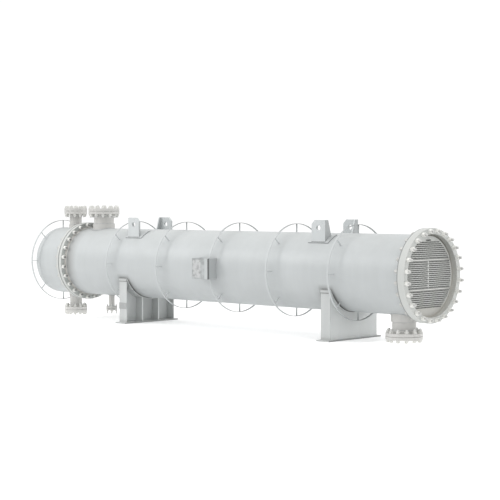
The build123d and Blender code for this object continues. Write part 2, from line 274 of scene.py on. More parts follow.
# The small shapes that the scene adds, which a user may change
class ExchangerDetail(bpy.types.PropertyGroup):
    nut_height: FloatProperty(
        name="Nut height",
        description="Height of a nut as a share of its stud's diameter",
        default=1.0,
        min=0.5,
        max=1.5,
        subtype="FACTOR",
    )
    edge_round: FloatProperty(
        name="Edge rounding",
        description="How far the edges of the cut plates are rounded",
        default=0.0015,
        min=0.0,
        max=0.004,
        **LENGTH,
    )
    seam_bead: FloatProperty(
        name="Seam bead",
        description="Half the width of the weld seams round the vessel",
        default=0.006,
        min=0.002,
        max=0.012,
        **LENGTH,
    )
    fillet_bead: FloatProperty(
        name="Fillet bead",
        description="Half the width of the fillet welds",
        default=0.005,
        min=0.002,
        max=0.012,
        **LENGTH,
    )
    tube_radius: FloatProperty(
        name="Tube radius",
        description="Outer radius of a tube end",
        default=0.0095,
        min=0.008,
        max=0.012,
        **LENGTH,
    )
    tube_bore: FloatProperty(
        name="Tube bore",
        description="Inner radius of a tube end",
        default=0.0079,
        min=0.006,
        max=0.011,
        **LENGTH,
    )
    tube_proud: FloatProperty(
        name="Tube end",
        description="How far the tube ends stand out of the tubesheet",
        default=0.003,
        min=0.0,
        max=0.008,
        **LENGTH,
    )


# The studio: its light and its camera
class ExchangerStage(bpy.types.PropertyGroup):
    sky_light: FloatProperty(
        name="Light from above",
        description="Strength of the surroundings overhead",
        default=1.19,
        **STRENGTH,
    )
    horizon_light: FloatProperty(
        name="Light from the sides",
        description="Strength of the surroundings at eye height",
        default=0.60,
        **STRENGTH,
    )
    floor_light: FloatProperty(
        name="Light from the floor",
        description="How strongly the pale floor glows under the vessel, as a light table does",
        default=0.16,
        **STRENGTH,
    )
    shadow_lift: FloatProperty(
        name="Shadow lift",
        description="How much paler the camera sees the floor and the shadows on it",
        default=0.12,
        **STRENGTH,
    )
    foot_light: FloatProperty(
        name="Light under the nozzles",
        description="How strongly the floor glows under the two bottom nozzles",
        default=0.60,
        **STRENGTH,
    )
    right_share: FloatProperty(
        name="Share from the right",
        description="How much of the surrounding light is left on the tubesheet's side",
        default=1.20,
        min=0.0,
        max=2.0,
    )
    backdrop_light: FloatProperty(
        name="Backdrop",
        description="Strength of the white backdrop behind the vessel",
        default=1.05,
        **STRENGTH,
    )
    top_light: FloatProperty(
        name="Top light",
        description="Power of the soft light over the vessel",
        default=30.0,
        **POWER,
    )
    side_light: FloatProperty(
        name="Side light",
        description="Power of the soft light in front of the vessel, on its left",
        default=600.0,
        **POWER,
    )
    back_light: FloatProperty(
        name="Back light",
        description="Power of the soft light behind the vessel, on the tubesheet's side",
        default=190.0,
        **POWER,
    )
    camera_place: FloatVectorProperty(
        name="Camera place",
        description="Where the camera stands",
        default=(13.853, -12.729, 1.611),
        unit="LENGTH",
        subtype="TRANSLATION",
    )
    camera_yaw: FloatProperty(
        name="Camera turn",
        description="How far the camera is turned to the left of +Y",
        default=math.radians(43.220),
        unit="ROTATION",
        subtype="ANGLE",
    )
    camera_pitch: FloatProperty(
        name="Camera tilt",
        description="How far the camera looks down",
        default=math.radians(1.998),
        unit="ROTATION",
        subtype="ANGLE",
    )
    camera_lens: FloatProperty(
        name="Lens",
        description="Focal length in millimetres on a sensor 36 mm wide",
        default=101.03,
        min=10.0,
        max=500.0,
    )


# Modelling helpers
def deselect():
    """Leaves nothing selected, and Blender in object mode."""
    if bpy.context.object and bpy.context.object.mode != "OBJECT":
        bpy.ops.object.mode_set(mode="OBJECT")
    bpy.ops.object.select_all(action="DESELECT")


def activate(piece):
    """Makes a piece the only one selected, and the active one."""
    deselect()
    piece.select_set(True)
    bpy.context.view_layer.objects.active = piece


def pick(piece, kind, test):
    """In edit mode, selects only the vertices or the faces that pass a test."""
    bpy.ops.mesh.select_mode(type=kind)
    bpy.ops.mesh.select_all(action="DESELECT")
    mesh = bmesh.from_edit_mesh(piece.data)
    parts = {"VERT": mesh.verts, "FACE": mesh.faces}[kind]
    for part in parts:
        if test(part):
            part.select = True
    mesh.select_flush_mode()
    bmesh.update_edit_mesh(piece.data)


def place_in_mesh(piece):
    """Moves a piece's place, turn and size into its mesh."""
    activate(piece)
    bpy.ops.object.transform_apply(location=True, rotation=True, scale=True)


def smooth(piece, degrees):
    """Shades a piece smooth, but for edges sharper than an angle."""
    activate(piece)
    bpy.ops.object.shade_smooth_by_angle(angle=math.radians(degrees))


def apply_modifiers(piece):
    """Applies every modifier of a piece, in order."""
    activate(piece)
    for modifier in list(piece.modifiers):
        bpy.ops.object.modifier_apply(modifier=modifier.name)


def finish_piece(piece, name, material):
    """Names a piece, gives it a finish where one is named, and makes it ride on the vessel."""
    piece.name = name
    piece.data.name = name
    if material:
        dress(piece, material)
    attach(piece, "root")
    deselect()


def dress(piece, material):
    """Gives a piece or a CAD node its finish, in place of the frame's plain material."""
    piece.data.materials.clear()
    piece.data.materials.append(bpy.data.materials[material + "_finish"])


def join_pieces(pieces):
    """Several pieces made one."""
    deselect()
    for piece in pieces:
        piece.select_set(True)
    bpy.context.view_layer.objects.active = pieces[0]
    bpy.ops.object.join()
    return pieces[0]


def join_copies(placed):
    """One piece made of copies of modelled shapes, each in its place."""
    copies = []
    for shape, place in placed:
        copy = bpy.data.objects.new(shape.name, shape.data.copy())
        bpy.context.collection.objects.link(copy)
        copy.data.transform(place)
        copies.append(copy)
    return join_pieces(copies)


def discard(*shapes):
    """Takes away shapes that were only modelled to be copied."""
    for shape in shapes:
        bpy.data.meshes.remove(shape.data)


def edit_all(piece):
    """Opens a piece in edit mode with all of it selected."""
    activate(piece)
    bpy.ops.object.mode_set(mode="EDIT")
    bpy.ops.mesh.select_all(action="SELECT")


# Node helpers. A value given to them is a socket to link, or a plain number, colour or vector.
# A mix node has sockets of one name for numbers, vectors and colours: these are the colours'.
MIX_COLOURS = (6, 7)
MIX_RESULT = 2


def feed(socket, value):
    """Links a value to a socket, or sets it there where it is a plain one."""
    if isinstance(value, bpy.types.NodeSocket):
        socket.id_data.links.new(value, socket)
    else:
        socket.default_value = (*value, 1.0) if socket.type == "RGBA" else value


def add_node(kind, inputs, **settings):
    """A new node with its settings and inputs, in the tree of the sockets that it is linked to."""
    sockets = [value for value in inputs.values() if isinstance(value, bpy.types.NodeSocket)]
    node = sockets[0].id_data.nodes.new(kind)
    for name, value in settings.items():
        setattr(node, name, value)
    for name, value in inputs.items():
        feed(node.inputs[name], value)
    return node


def noise(place, scale, detail=3.0, rough=0.55):
    """The value of a noise texture at a place."""
    inputs = {"Vector": place, "Scale": scale, "Detail": detail, "Roughness": rough}
    return add_node("ShaderNodeTexNoise", inputs).outputs["Fac"]


def ramp(value, low, high, to_low=0.0, to_high=1.0):
    """A value stretched between two ends, and held there."""
    ends = {"From Min": low, "From Max": high, "To Min": to_low, "To Max": to_high}
    return add_node("ShaderNodeMapRange", {"Value": value, **ends}).outputs["Result"]


def combine(operation, first, second=0.0):
    """Two values combined by a sum, a product and so on."""
    node = add_node("ShaderNodeMath", {0: first, 1: second}, operation=operation)
    return node.outputs["Value"]


def product(value, *others):
    """The product of values."""
    for other in others:
        value = combine("MULTIPLY", value, other)
    return value


def total(first, second):
    """The sum of two values."""
    return combine("ADD", first, second)


def away_from(value, centre):
    """How far a value lies from another."""
    return combine("ABSOLUTE", combine("SUBTRACT", value, centre))


def larger(first, second):
    """The larger of two values."""
    return combine("MAXIMUM", first, second)


def span(first, second):
    """The length across two lengths at right angles."""
    squares = total(product(first, first), product(second, second))
    return combine("POWER", squares, 0.5)


def axes(place):
    """The X, Y and Z of a place or a direction."""
    return add_node("ShaderNodeSeparateXYZ", {"Vector": place}).outputs


def facing(place):
    """The X, Y and Z of the direction in which a face looks."""
    return axes(place.id_data.nodes.new("ShaderNodeNewGeometry").outputs["Normal"])


def stretch(place, amounts):
    """Coordinates multiplied along each axis."""
    inputs = {0: place, 1: amounts}
    return add_node("ShaderNodeVectorMath", inputs, operation="MULTIPLY").outputs["Vector"]


def blend_colour(factor, first, second, blend="MIX"):
    """A mix of two colours by a mask, or another blend of them."""
    inputs = {"Factor": factor, MIX_COLOURS[0]: first, MIX_COLOURS[1]: second}
    node = add_node("ShaderNodeMix", inputs, data_type="RGBA", blend_type=blend)
    return node.outputs[MIX_RESULT]


def scaled(colour, share):
    """A darker or paler tone of a colour, by one share or by one for each channel."""
    shares = share if isinstance(share, tuple) else (share, share, share)
    return tuple(part * each for part, each in zip(colour, shares))


# Node groups: effects that more than one finish uses
SOCKET_KINDS = {
    "Place": "NodeSocketVector",
    "Stretch": "NodeSocketVector",
    "Colour": "NodeSocketColor",
}


def new_group(name, inputs, outputs):
    """A node group with its sockets: what it is given, and what it results in."""
    tree = bpy.data.node_groups.new(name, "ShaderNodeTree")
    for side, sockets in (("INPUT", {"Place": None, **inputs}), ("OUTPUT", dict.fromkeys(outputs))):
        for socket, value in sockets.items():
            kind = SOCKET_KINDS.get(socket, "NodeSocketFloat")
            made = tree.interface.new_socket(name=socket, in_out=side, socket_type=kind)
            if value is not None:
                made.default_value = value
    return tree.nodes.new("NodeGroupInput").outputs, tree.nodes.new("NodeGroupOutput").inputs


def use_group(name, place, **values):
    """The outputs of a node group placed in a tree, with its own values."""
    inputs = {"Place": place, **values}
    group = bpy.data.node_groups[name]
    return add_node("ShaderNodeGroup", inputs, node_tree=group).outputs


def group_paint_film():
    """Sprayed paint: broad mottling, faint run marks down the sides, and orange peel."""
    outputs = ("Colour", "Roughness", "Height")
    given, result = new_group("paint_film", {"Colour": None, "Mottle": 0.05}, outputs)
    place = given["Place"]
    broad = ramp(noise(place, 1.6, 4.0), 0.3, 0.7, -1.0, 1.0)
    streaks = noise(stretch(place, (9.0, 9.0, 0.7)), 1.0, 3.0)
    runs = ramp(streaks, 0.35, 0.7, -0.6, 0.6)
    shift = product(total(broad, runs), given["Mottle"])
    inputs = {0: given["Colour"], "Scale": total(shift, 1.0)}
    tint = add_node("ShaderNodeVectorMath", inputs, operation="SCALE")
    peel = product(noise(place, 240.0, 2.0), 0.7)
    roll = product(noise(place, 14.0, 2.0), 0.8)
    rough = ramp(noise(place, 7.0, 5.0), 0.3, 0.7, 0.36, 0.50)
    feed(result["Colour"], tint.outputs["Vector"])
    feed(result["Roughness"], rough)
    feed(result["Height"], total(peel, roll))


def group_settled_dust():
    """A mask of dust that lies thinly on what faces up."""
    given, result = new_group("settled_dust", {"Amount": 0.3}, ("Mask",))
    upward = ramp(facing(given["Place"])["Z"], 0.45, 0.95)
    patch = ramp(noise(given["Place"], 11.0, 6.0, 0.6), 0.3, 0.7, 0.25, 1.0)
    feed(result["Mask"], product(upward, patch, given["Amount"]))


def group_foot_grime():
    """A mask of splashed dirt that fades out above the floor."""
    given, result = new_group("foot_grime", {"Amount": 0.3}, ("Mask",))
    low = ramp(axes(given["Place"])["Z"], 0.09, 0.0)
    patch = ramp(noise(given["Place"], 16.0, 5.0), 0.35, 0.65, 0.2, 1.0)
    feed(result["Mask"], product(low, patch, given["Amount"]))


def group_vessel_polar():
    """The distance of a place from the vessel's axis, and how far it lies along it."""
    given, result = new_group("vessel_polar", {}, ("Radius", "Along"))
    parts = axes(given["Place"])
    height = combine("SUBTRACT", parts["Z"], AXIS_Z)
    feed(result["Radius"], span(parts["Y"], height))
    feed(result["Along"], parts["X"])


def group_turned_face():
    """Fine rings from the lathe, round the vessel's axis."""
    given, result = new_group("turned_face", {"Rings per metre": 700.0}, ("Height",))
    radius = use_group("vessel_polar", given["Place"])["Radius"]
    angle = product(radius, given["Rings per metre"], math.tau)
    wave = product(combine("SINE", angle), 0.4)
    chatter = noise(given["Place"], 90.0, 3.0)
    feed(result["Height"], total(wave, chatter))


def group_tube_lines():
    """A mask of the level lines that the rows of tube mouths lie on, one phase to each pass."""
    given, result = new_group("tube_lines", {}, ("Mask",))
    parts = axes(given["Place"])
    height = combine("SUBTRACT", parts["Z"], AXIS_Z)
    above = combine("GREATER_THAN", height, LANES[0])
    below = combine("LESS_THAN", height, LANES[1])
    shift = total(product(above, TOP_START), product(below, BOTTOM_START))
    row = combine("DIVIDE", combine("SUBTRACT", height, shift), ROW_RISE)
    line = ramp(away_from(row, combine("ROUND", row)), 0.34, 0.22)
    radius = use_group("vessel_polar", given["Place"])["Radius"]
    inside = ramp(radius, TUBE_FIELD_R + 0.010, TUBE_FIELD_R + 0.004)
    under = combine("LESS_THAN", height, CROWN_ROW - ROW_RISE / 2)
    over = combine("GREATER_THAN", height, BOTTOM_START - (OUTER_ROWS - 0.5) * ROW_RISE)
    across = combine("ABSOLUTE", parts["Y"])
    off_lane = combine("GREATER_THAN", across, SPLIT_LANE_HALF + 0.003)
    off_lane = larger(off_lane, total(above, below))
    crown = combine("LESS_THAN", away_from(height, CROWN_ROW), 0.0085)
    short = combine("LESS_THAN", across, CROWN_HALF_LENGTH + 0.006)
    rows = product(line, off_lane, inside, under, over)
    feed(result["Mask"], larger(rows, product(crown, short)))


def group_metal_grain():
    """Fine lines drawn along one direction, as on plated bar and rolled plate."""
    outputs = ("Tone", "Roughness", "Height")
    given, result = new_group("metal_grain", {"Stretch": (60.0, 60.0, 900.0)}, outputs)
    grain = noise(stretch(given["Place"], given["Stretch"]), 1.0, 3.0)
    patch = noise(given["Place"], 35.0, 4.0)
    tone = total(product(grain, 0.4), product(patch, 0.6))
    feed(result["Tone"], ramp(tone, 0.3, 0.7))
    feed(result["Roughness"], ramp(patch, 0.3, 0.7, 0.28, 0.48))
    feed(result["Height"], grain)


def group_weld_ripples():
    """The overlapping ripples and spatter grain of a painted weld bead."""
    given, result = new_group("weld_ripples", {}, ("Height", "Shade"))
    inputs = {"Vector": given["Place"], "Scale": 150.0}
    cells = add_node("ShaderNodeTexVoronoi", inputs, feature="SMOOTH_F1").outputs["Distance"]
    grain = noise(given["Place"], 420.0, 2.0)
    height = total(product(cells, 0.9), product(grain, 0.3))
    feed(result["Height"], height)
    feed(result["Shade"], ramp(cells, 0.1, 0.8))


# Finishes
DUST = (0.50, 0.48, 0.43)
DIRT = (0.20, 0.18, 0.15)
LINE_GREY = (0.23, 0.24, 0.24)
PAINT_GLOSS = 0.42
VESSEL_COAT = {"mottle": 0.030, "dust": 0.12, "grime": 0.0}
PLATE_COAT = {"mottle": 0.035, "dust": 0.15, "grime": 0.0}
FOOT_COAT = dict(PLATE_COAT, grime=0.15)


def new_material(name, metallic=0.0, specular=0.5):
    """An empty finish: its shader and its object coordinates."""
    material = bpy.data.materials.new(name + "_finish")
    material.use_nodes = True
    tree = material.node_tree
    shader = tree.nodes["Principled BSDF"]
    shader.inputs["Metallic"].default_value = metallic
    shader.inputs["Specular IOR Level"].default_value = specular
    return shader, tree.nodes.new("ShaderNodeTexCoord").outputs["Object"]


def show(shader, colour, rough=None):
    """Gives a shader its colour, in place of one before it, and its roughness."""
    feed(shader.inputs["Base Color"], colour)
    if rough is not None:
        feed(shader.inputs["Roughness"], rough)


def raise_bumps(shader, height, distance, strength):
    """A bump that feeds the shader's normal."""
    inputs = {"Height": height, "Distance": distance, "Strength": strength}
    bump = add_node("ShaderNodeBump", inputs)
    feed(shader.inputs["Normal"], bump.outputs["Normal"])


def paint(name, colour, coat):
    """A sprayed paint, with dust on what faces up and dirt near the floor."""
    shader, place = new_material(name, specular=PAINT_GLOSS)
    film = use_group("paint_film", place, Colour=colour, Mottle=coat["mottle"])
    dusty = use_group("settled_dust", place, Amount=coat["dust"])["Mask"]
    dirty = use_group("foot_grime", place, Amount=coat["grime"])["Mask"]
    shown = blend_colour(dusty, film["Colour"], DUST)
    shown = blend_colour(dirty, shown, DIRT)
    show(shader, shown, total(film["Roughness"], product(dusty, 0.35)))
    raise_bumps(shader, film["Height"], 0.0006, 0.25)
    return shader, place, shown


def face_along(place):
    """A mask of the faces that look along +X."""
    return ramp(facing(place)["X"], 0.80, 0.92)


def paint_barrel(vessel):
    """The barrel's paint, with painted shade behind the girth joint and by the saddles, and painted
    shade with some dirt round the inlet.
    """
    shader, place, shown = paint("barrel_paint", vessel, VESSEL_COAT)
    shade_and_dirt_tone = scaled(vessel, (0.62, 0.595, 0.575))
    parts = axes(place)
    # Painted shade on the barrel just behind the front girth joint, most at mid height.
    near = product(
        ramp(parts["X"], SHELL_HUB + 0.05, SHELL_HUB + 0.19, 0.75, 0.0),
        ramp(parts["Z"], AXIS_Z - 0.35, AXIS_Z - 0.05, 0.25, 1.0),
        ramp(parts["Z"], AXIS_Z + 0.10, AXIS_Z + 0.40, 1.0, 0.45),
    )
    shown = blend_colour(near, shown, shade_and_dirt_tone)
    # Painted shade, with some dirt, in a ring round the foot of the inlet nozzle.
    across = combine("SUBTRACT", parts["X"], NOZZLES["shell_inlet"]["x"])
    root = product(
        ramp(span(across, parts["Y"]), 0.160, 0.185, 0.55, 0.0),
        ramp(parts["Z"], AXIS_Z, AXIS_Z + 0.01),
    )
    shown = blend_colour(root, shown, scaled(shade_and_dirt_tone, 0.6))
    # Painted shade on the lower barrel beside each saddle's wrap: a broad soft band and a narrow
    # dark one.
    low = ramp(parts["Z"], AXIS_Z - 0.26, AXIS_Z - 0.12, 1.0, 0.0)
    for x in SADDLES.values():
        away = away_from(parts["X"], x)
        for start, end, strength, tone in ((0.0, 0.13, 0.45, 0.75), (0.015, 0.045, 0.80, 0.45)):
            start, end = WRAP_HALF_WIDTH + start, WRAP_HALF_WIDTH + end
            beside = product(ramp(away, start, end, strength, 0.0), low)
            shown = blend_colour(beside, shown, scaled(shade_and_dirt_tone, tone))
    show(shader, shown)


def paint_nozzles(nozzle):
    """The nozzles' paint, painted paler under the vessel than over it, as painted light that lifts
    the shade there.
    """
    shader, place, _ = paint("nozzle_paint", nozzle, VESSEL_COAT)
    upper = ramp(axes(place)["Z"], AXIS_Z - 0.5, AXIS_Z + 0.5)
    painted_light_by_height = blend_colour(upper, scaled(nozzle, 1.14), scaled(nozzle, 1.04))
    film = use_group("paint_film", place, Colour=(1.0, 1.0, 1.0), Mottle=0.04)
    show(shader, blend_colour(1.0, film["Colour"], painted_light_by_height, "MULTIPLY"))


def paint_rings(vessel):
    """The support rings' paint, with painted shade darkening the top and the bottom of each hoop.
    """
    shader, place, shown = paint("ring_paint", scaled(vessel, 1.07), VESSEL_COAT)
    height = axes(place)["Z"]
    above = ramp(height, AXIS_Z + 0.42, AXIS_Z + 0.54)
    below = ramp(height, AXIS_Z - 0.46, AXIS_Z - 0.56)
    show(shader, blend_colour(larger(above, below), shown, scaled(vessel, 0.60)))


def joint_line(place, shown, along):
    """A dark line round the outer rim of a girth flange, at a given distance along the vessel."""
    polar = use_group("vessel_polar", place)
    line = ramp(away_from(polar["Along"], along), 0.0055, 0.0045)
    outer = ramp(polar["Radius"], GIRTH_R - 0.004, GIRTH_R - 0.003)
    return blend_colour(product(line, outer), shown, LINE_GREY)


def bare_and_shaded_hub(place, shown):
    """The front girth flange's face and hub: the +X face a dull grey, partly bare steel and partly
    painted shade, darker towards the top as painted shadow, and the hub a warmer grey.
    """
    radius = use_group("vessel_polar", place)["Radius"]
    hub = ramp(radius, SHELL_R + 0.014, SHELL_R + 0.010)
    shade = ramp(axes(place)["Z"], AXIS_Z + 0.25, AXIS_Z + 0.50)
    dull = blend_colour(shade, (0.460, 0.480, 0.465), (0.360, 0.372, 0.360))
    dull = blend_colour(hub, dull, (0.600, 0.584, 0.556))
    return blend_colour(larger(face_along(place), hub), shown, dull)


def shaded_recess(place, shown):
    """The bare wall of the recess in front of the tubesheet, with painted shade darkening it
    towards the top.
    """
    radius = use_group("vessel_polar", place)["Radius"]
    inside = ramp(radius, BORE_R + 0.0205, BORE_R + 0.0195)
    shade = ramp(axes(place)["Z"], AXIS_Z - 0.05, AXIS_Z + 0.36)
    bare = blend_colour(shade, (0.425, 0.414, 0.378), (0.190, 0.188, 0.167))
    return blend_colour(inside, shown, bare)


def paint_flanges(flange):
    """The girth flanges' paint, with their bare faces, painted shade on the rear flange's +X faces
    and recess wall, and the dark lines on their rims.
    """
    shader, place, shown = paint("flange_paint", flange, VESSEL_COAT)
    show(shader, joint_line(place, shown, CHANNEL_FACE - 0.006))
    shader, place, shown = paint("front_flange_paint", flange, VESSEL_COAT)
    show(shader, bare_and_shaded_hub(place, shown))
    shader, place, shown = paint("rear_flange_paint", flange, VESSEL_COAT)
    # Painted shade: the rear flange's faces that look along +X a little darker.
    shown = blend_colour(face_along(place), shown, scaled(flange, 0.90))
    shown = shaded_recess(place, shown)
    show(shader, joint_line(place, shown, REAR_HUB + GIRTH_HUB_LENGTH + 0.007))


def paint_saddles(saddle):
    """The saddles' paint: paler webs as painted light, a painted highlight on each wrap's +X edge,
    painted shade where the wrap meets the shell and painted shadow lines round the caps.
    """
    paint("saddle_paint", saddle, dict(PLATE_COAT, grime=0.25))
    # The webs are painted paler than the rest, as painted light in their shaded bays.
    paint("web_paint", scaled(saddle, 1.16), FOOT_COAT)
    shader, place, shown = paint("wrap_paint", saddle, PLATE_COAT)
    radius = use_group("vessel_polar", place)["Radius"]
    # Painted highlight on the +X faces of the wrap: strong on its edge by the shell, faint further
    # out.
    plate = ramp(radius, SHELL_R + 0.0110, SHELL_R + 0.0125)
    edge = blend_colour(plate, scaled(saddle, 1.45), scaled(saddle, 1.05))
    shown = blend_colour(face_along(place), shown, edge)
    # Painted shade: a dark line where the wrap meets the shell.
    crevice = ramp(radius, SHELL_R + 0.0065, SHELL_R + 0.0050)
    show(shader, blend_colour(crevice, shown, (0.09, 0.095, 0.09)))
    shader, place, shown = paint("cap_paint", scaled(saddle, 0.92), PLATE_COAT)
    # Painted shadow: dark lines under and over each cap.
    height = axes(place)["Z"]
    under = ramp(height, CAP_LOW + 0.009, CAP_LOW + 0.008)
    over = ramp(height, CAP_HIGH - 0.006, CAP_HIGH - 0.005)
    show(shader, blend_colour(larger(under, over), shown, (0.24, 0.245, 0.24)))


def paint_bracket(vessel):
    """The bracket's paint: painted shade on its +X leg, a painted shadow line there by the
    nameplate, and patchy stain and painted shadow beside it.
    """
    shader, place, shown = paint("bracket_paint", vessel, PLATE_COAT)
    parts = axes(place)
    # Painted shade on the +X leg, with a dark painted shadow line along its edge by the nameplate.
    edge = ramp(parts["Y"], plate_low.y + 0.034, plate_low.y + 0.030)
    leg = blend_colour(edge, scaled(vessel, 0.83), scaled(vessel, 0.30))
    # Patchy stain and painted shadow on the front of the bracket beside the nameplate.
    beside = ramp(parts["X"], plate_high.x + 0.070, plate_high.x + 0.058)
    patchy = ramp(noise(place, 16.0, 3.0, 0.6), 0.36, 0.56, 0.25, 1.0)
    stained = product(beside, patchy)
    shown = blend_colour(stained, shown, scaled(vessel, 0.66))
    show(shader, blend_colour(face_along(place), shown, leg))


def paint_welds(vessel):
    """The painted beads of the seams, and the beads of the lugs' fillets painted darker as painted
    shadow along the pads' edges.
    """
    for name, colour in (("weld_paint", vessel), ("shaded_fillet_paint", scaled(vessel, 0.48))):
        shader, place = new_material(name, specular=PAINT_GLOSS)
        ripples = use_group("weld_ripples", place)
        film = use_group("paint_film", place, Colour=colour, Mottle=0.04)
        shown = blend_colour(ripples["Shade"], film["Colour"], scaled(colour, 0.8))
        show(shader, shown, film["Roughness"])
        raise_bumps(shader, ripples["Height"], 0.002, 0.6)


def steel(name, dark, pale, grain_by, metallic, grain_depth=0.0003):
    """Steel with a fine grain along it."""
    shader, place = new_material(name, metallic)
    grain = use_group("metal_grain", place, Stretch=grain_by)
    shown = blend_colour(grain["Tone"], dark, pale)
    show(shader, shown, grain["Roughness"])
    raise_bumps(shader, grain["Height"], grain_depth, 0.3)
    return shader, place, shown


def plated(name, colour, grain_by):
    """Plated steel, darker along its grain."""
    return steel(name, scaled(colour, 0.78), colour, grain_by, 0.15, 0.0004)


def plate_steels(stud, nut):
    """The plated steel of the studs and the nuts, with lit and shaded copies as painted light for
    the girth joints, the earthing plate and the stained nameplate.
    """
    lengthwise, even = (900.0, 60.0, 60.0), (120.0, 120.0, 120.0)
    for name, colour, grain_by in (
        # Painted light: lit and shaded copies of the studs' and the nuts' steel for the girth
        # joints.
        ("stud_steel_along", scaled(stud, 0.80), lengthwise),
        ("stud_steel_shaded", scaled(stud, 0.34), lengthwise),
        ("stud_steel_upright", stud, (60.0, 60.0, 900.0)),
        ("nut_steel", nut, even),
        ("nut_steel_lit", scaled(nut, 1.16), even),
        ("nut_steel_shaded", scaled(nut, 0.76), even),
        ("earthing_steel", (0.43, 0.44, 0.44), (500.0, 30.0, 30.0)),
    ):
        plated(name, colour, grain_by)
    shader, place, shown = plated("nameplate_steel", (0.60, 0.61, 0.61), (30.0, 30.0, 700.0))
    stain = ramp(noise(place, 16.0, 3.0, 0.6), 0.45, 0.62)
    show(shader, blend_colour(stain, shown, (0.33, 0.34, 0.34)))


def press_gaskets(colour):
    """The speckled fibre of the gaskets' edges."""
    shader, place = new_material("gasket_fibre", specular=0.3)
    speck = ramp(noise(place, 300.0, 4.0), 0.4, 0.65)
    shown = blend_colour(speck, colour, scaled(colour, 2.2))
    show(shader, shown, ramp(speck, 0.0, 1.0, 0.6, 0.85))
    raise_bumps(shader, speck, 0.0006, 0.5)


def machine_tubesheet(sheet, bore):
    """The sheet's dull machined face, with painted shade deep in its tube mouths, along their rows,
    beside the pass strips and on its lower part, and its tube ends and strips.
    """
    shader, place = new_material("tubesheet_steel", metallic=0.15, specular=0.4)
    parts = axes(place)
    patch = ramp(noise(place, 8.0, 6.0, 0.6), 0.3, 0.7)
    face = blend_colour(patch, scaled(sheet, 0.86), sheet)
    # Painted shadow on the sheet beside each pass strip, in its lane.
    for lane in LANES:
        beside = ramp(away_from(parts["Z"], AXIS_Z + lane), 0.0150, 0.0130)
        face = blend_colour(beside, face, scaled(sheet, 0.42))
    # Painted shade on the sheet's lower part.
    lower = ramp(parts["Z"], AXIS_Z - 0.36, AXIS_Z - 0.30, 1.0, 0.0)
    face = blend_colour(lower, face, scaled(sheet, (0.80, 0.78, 0.76)))
    # Painted shade along the rows of tube mouths.
    lines = use_group("tube_lines", place)["Mask"]
    face = blend_colour(lines, face, scaled(sheet, 0.42))
    # Painted shade deep inside the tube mouths.
    deep = ramp(parts["X"], SHEET_FACE - 0.0008, SHEET_FACE - 0.004)
    rough = ramp(patch, 0.0, 1.0, 0.42, 0.58)
    show(shader, blend_colour(deep, face, bore), rough)
    turned = use_group("turned_face", place)
    raise_bumps(shader, turned["Height"], 0.0003, 0.3)

    even = (200.0, 200.0, 200.0)
    shader, place, lip = steel("tube_end_steel", scaled(sheet, 0.86), sheet, even, 0.0)
    # Painted shade on the tube ends' lips along their rows.
    lines = use_group("tube_lines", place)["Mask"]
    show(shader, blend_colour(lines, lip, scaled(sheet, 0.50)))
    dark, pale, across = (0.76, 0.76, 0.73), (0.86, 0.86, 0.83), (300.0, 20.0, 300.0)
    steel("pass_strip_steel", dark, pale, across, 0.2)


def mix_finishes(finish):
    """Every finish of the exchanger."""
    group_paint_film()
    group_settled_dust()
    group_foot_grime()
    group_vessel_polar()
    group_turned_face()
    group_tube_lines()
    group_metal_grain()
    group_weld_ripples()
    vessel = tuple(finish.vessel_colour)
    saddle = tuple(finish.saddle_colour)
    paint("vessel_paint", vessel, VESSEL_COAT)
    paint_barrel(vessel)
    paint_nozzles(tuple(finish.nozzle_colour))
    paint_rings(vessel)
    paint_flanges(tuple(finish.flange_colour))
    paint_saddles(saddle)
    # Painted light on the faces that look along +X: painted shade on the lugs and the base plates,
    # a painted highlight on the ribs.
    for name, colour, coat, tone in (
        ("lug_paint", scaled(vessel, 1.12), VESSEL_COAT, scaled(vessel, 0.78)),
        ("rib_paint", saddle, FOOT_COAT, scaled(saddle, 1.45)),
        ("base_paint", saddle, FOOT_COAT, scaled(saddle, 0.50)),
    ):
        shader, place, shown = paint(name, colour, coat)
        show(shader, blend_colour(face_along(place), shown, tone))
    paint_bracket(vessel)
    paint_welds(vessel)
    plate_steels(tuple(finish.stud_colour), tuple(finish.nut_colour))
    press_gaskets(tuple(finish.gasket_colour))
    machine_tubesheet(tuple(finish.sheet_colour), tuple(finish.bore_shade_colour))


# What the CAD nodes wear: by a node's whole name, or else by the first part of a name it holds
FINISH_BY_NAME = {
    "rear_tubesheet": "tubesheet_steel",
    "nameplate": "nameplate_steel",
    "nameplate_bracket": "bracket_paint",
    "earthing_plate": "earthing_steel",
    "rear_flange": "rear_flange_paint",
    "shell_front_flange": "front_flange_paint",
    "shell_barrel": "barrel_paint",
}
FINISH_BY_PART = {
    "gasket": "gasket_fibre",
    "_flange": "flange_paint",
    "_cover": "nozzle_paint",
    "_nozzle": "nozzle_paint",
    "_wrap": "wrap_paint",
    "_web": "web_paint",
    "_ribs": "rib_paint",
    "_base": "base_paint",
    "saddle": "saddle_paint",
    "lifting_lug": "lug_paint",
    "support_ring": "ring_paint",
}


def finish_of(node_name):
    """The finish that a CAD node wears."""
    if node_name in FINISH_BY_NAME:
        return FINISH_BY_NAME[node_name]
    for part, finish in FINISH_BY_PART.items():
        if part in node_name:
            return finish
    return "vessel_paint"


class EXCHANGER_OT_paint(bpy.types.Operator):
    """Mixes the finishes and dresses every CAD node"""

    bl_idname = "exchanger.paint"
    bl_label = "Paint the vessel"

    def execute(self, context):
        mix_finishes(context.scene.exchanger_finish)
        for name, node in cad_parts.items():
            dress(node, finish_of(name))
        return {"FINISHED"}


